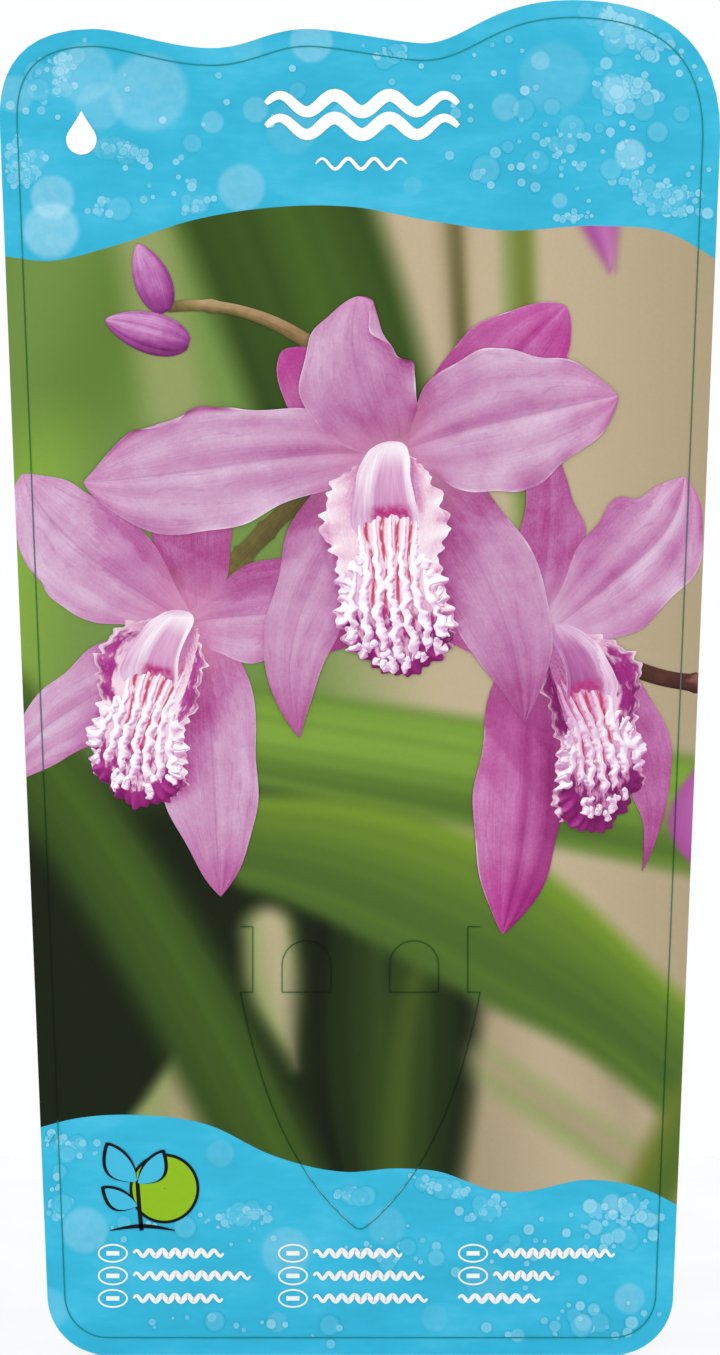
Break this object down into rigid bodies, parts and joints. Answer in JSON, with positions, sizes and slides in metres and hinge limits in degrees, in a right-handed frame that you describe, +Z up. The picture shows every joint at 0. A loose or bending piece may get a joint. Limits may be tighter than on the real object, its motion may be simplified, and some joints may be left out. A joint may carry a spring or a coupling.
{
  "type": "plant label",
  "caption": "Tapering white plastic plant label with a wavy top edge, an orchid picture between blue bubbled bands, and a die-cut arrow tongue that hooks behind a pot's rim.",
  "frame": {"origin": "on the back face, in the middle of the tongue's neck, where the rim of the pot bears", "axes": "+Z up the sheet as it hangs, +X to the right of someone who looks at the printed face, +Y out of the plain back face"},
  "size_m": [0.0825, 0.0005, 0.155],
  "materials": {
    "sheet": "satin white sheet, printed on its front face",
    "print": "satin printing ink"
  },
  "bodies": {
    "root": {"label_sheet": "sheet"}
  },
  "joints": []
}
